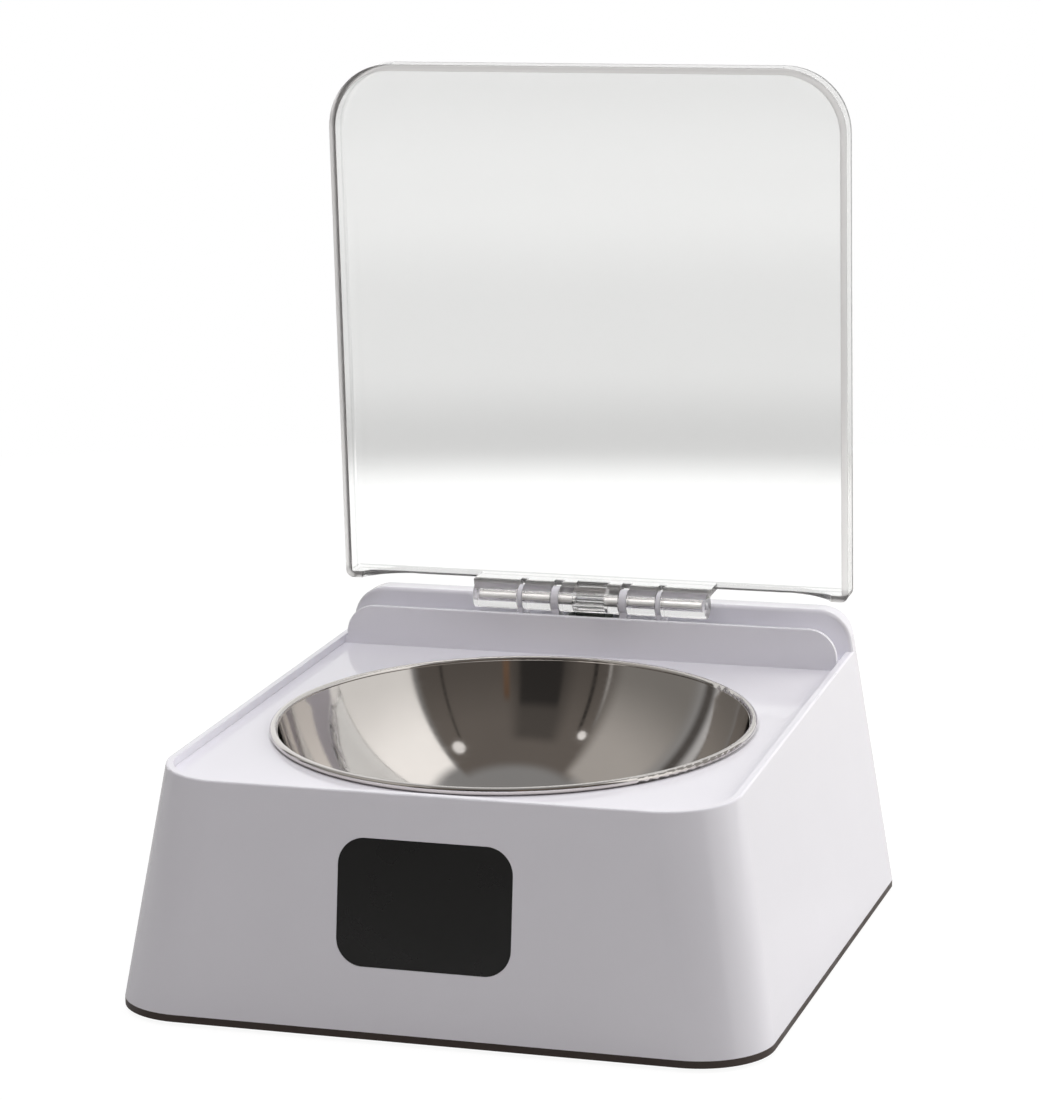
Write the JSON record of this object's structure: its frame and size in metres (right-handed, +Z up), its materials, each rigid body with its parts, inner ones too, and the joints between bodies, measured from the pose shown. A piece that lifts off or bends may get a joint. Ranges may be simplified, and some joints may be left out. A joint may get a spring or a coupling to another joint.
{
  "type": "motion sensor pet bowl",
  "caption": "Square stand with a lift-out steel bowl and a clear lid that a small motor opens when the sensor behind the front window notices a pet.",
  "frame": {"origin": "on the floor under the middle of the body", "axes": "+X to the right across the body, +Y to the back where the hinge is, +Z up; the sensor window faces -Y"},
  "size_m": [0.236, 0.24, 0.3233],
  "materials": {
    "white_shell": "gloss white moulding",
    "dark_base": "dark moulding, fine texture",
    "clear_lid": "clear moulded plastic",
    "bowl_steel": "pressed and polished stainless steel",
    "window": "dark tinted gloss",
    "feet": "soft rubber",
    "screw_steel": "zinc plated",
    "spring_steel": "nickel plated",
    "cell": "plain sleeve",
    "board": "green circuit board",
    "chip": "matt",
    "capacitor": "sleeved can",
    "connector": "cream plastic",
    "emitter": "tinted clear",
    "switch": "black plastic",
    "plunger": "red plastic",
    "gearbox": "grey moulding",
    "gear": "natural acetal",
    "pinion": "machined",
    "motor": "plated can",
    "wire": "sleeved bundle"
  },
  "bodies": {
    "housing": {"upper_housing": "white_shell", "base_plate": "dark_base", "base_screws": "screw_steel", "sensor_window": "window", "hinge_pin_left": "screw_steel", "hinge_pin_right": "screw_steel", "foot_front_left": "feet", "foot_front_right": "feet", "foot_rear_left": "feet", "foot_rear_right": "feet", "sensor_board": "board", "ir_emitter": "emitter", "ir_receiver": "emitter", "control_board": "board", "control_chip": "chip", "board_capacitors": "capacitor", "board_connectors": "connector", "board_screws": "screw_steel", "power_switch_body": "switch", "gearbox_case": "gearbox", "gearbox_cover": "gearbox", "gearbox_screws": "screw_steel", "gear_axles": "screw_steel", "drive_motor": "motor", "limit_switch": "switch", "battery_contacts": "spring_steel", "battery_springs": "spring_steel", "battery_1": "cell", "battery_2": "cell", "battery_3": "cell", "battery_4": "cell", "sensor_wires": "wire", "battery_wires": "wire", "motor_wires": "wire", "switch_wires": "wire"},
    "lid": {"lid": "clear_lid"},
    "steel_bowl": {"steel_bowl": "bowl_steel"},
    "battery_door": {"battery_door": "dark_base"},
    "power_switch_knob": {"power_switch_knob": "switch"},
    "limit_switch_plunger": {"limit_switch_plunger": "plunger"},
    "output_gear": {"output_gear": "gear"},
    "second_gear": {"second_gear": "gear"},
    "third_gear": {"third_gear": "gear"},
    "fourth_gear": {"fourth_gear": "gear"},
    "motor_rotor": {"motor_rotor": "pinion"}
  },
  "joints": [
    {"name": "lid_hinge", "type": "hinge", "parent": "housing", "child": "lid", "pos_m": [0, 0.09823, 0.1138], "axis": [-1, 0, 0], "range_deg": [-93.9, 0]},
    {"name": "output_gear_spin", "type": "hinge", "parent": "housing", "child": "output_gear", "pos_m": [0, 0.10243, 0.10288], "axis": [-1, 0, 0], "range_deg": [0, 58.8]},
    {"name": "second_gear_spin", "type": "hinge", "parent": "housing", "child": "second_gear", "pos_m": [0, 0.10383, 0.09217], "axis": [-1, 0, 0], "range_deg": [-117.5, 0]},
    {"name": "third_gear_spin", "type": "hinge", "parent": "housing", "child": "third_gear", "pos_m": [0, 0.10453, 0.08019], "axis": [-1, 0, 0], "range_deg": [0, 274]},
    {"name": "fourth_gear_spin", "type": "hinge", "parent": "housing", "child": "fourth_gear", "pos_m": [0, 0.10453, 0.06759], "axis": [-1, 0, 0], "range_deg": [-684.8, 0]},
    {"name": "motor_spin", "type": "hinge", "parent": "housing", "child": "motor_rotor", "pos_m": [0, 0.10453, 0.05499], "axis": [-1, 0, 0], "range_deg": [0, 1711.9]},
    {"name": "bowl_lift", "type": "slide", "parent": "housing", "child": "steel_bowl", "axis": [0, -0.045, 0.999], "range_m": [0, 0.09]},
    {"name": "battery_door_hinge", "type": "hinge", "parent": "housing", "child": "battery_door", "pos_m": [0, 0.0319, 0.0025], "axis": [1, 0, 0], "range_deg": [0, 100]},
    {"name": "power_switch_slide", "type": "slide", "parent": "housing", "child": "power_switch_knob", "axis": [1, 0, 0], "range_m": [0, 0.004]},
    {"name": "limit_switch_press", "type": "slide", "parent": "housing", "child": "limit_switch_plunger", "axis": [0, -1, 0], "range_m": [0, 0.0006], "stiffness_N_per_m": 200, "springref_m": -0.001}
  ],
  "couplings": [
    {"joint": "output_gear_spin", "follows": "lid_hinge", "ratio": -0.625},
    {"joint": "second_gear_spin", "follows": "lid_hinge", "ratio": 1.25},
    {"joint": "third_gear_spin", "follows": "lid_hinge", "ratio": -2.9167},
    {"joint": "fourth_gear_spin", "follows": "lid_hinge", "ratio": 7.2917},
    {"joint": "motor_spin", "follows": "lid_hinge", "ratio": -18.229}
  ]
}
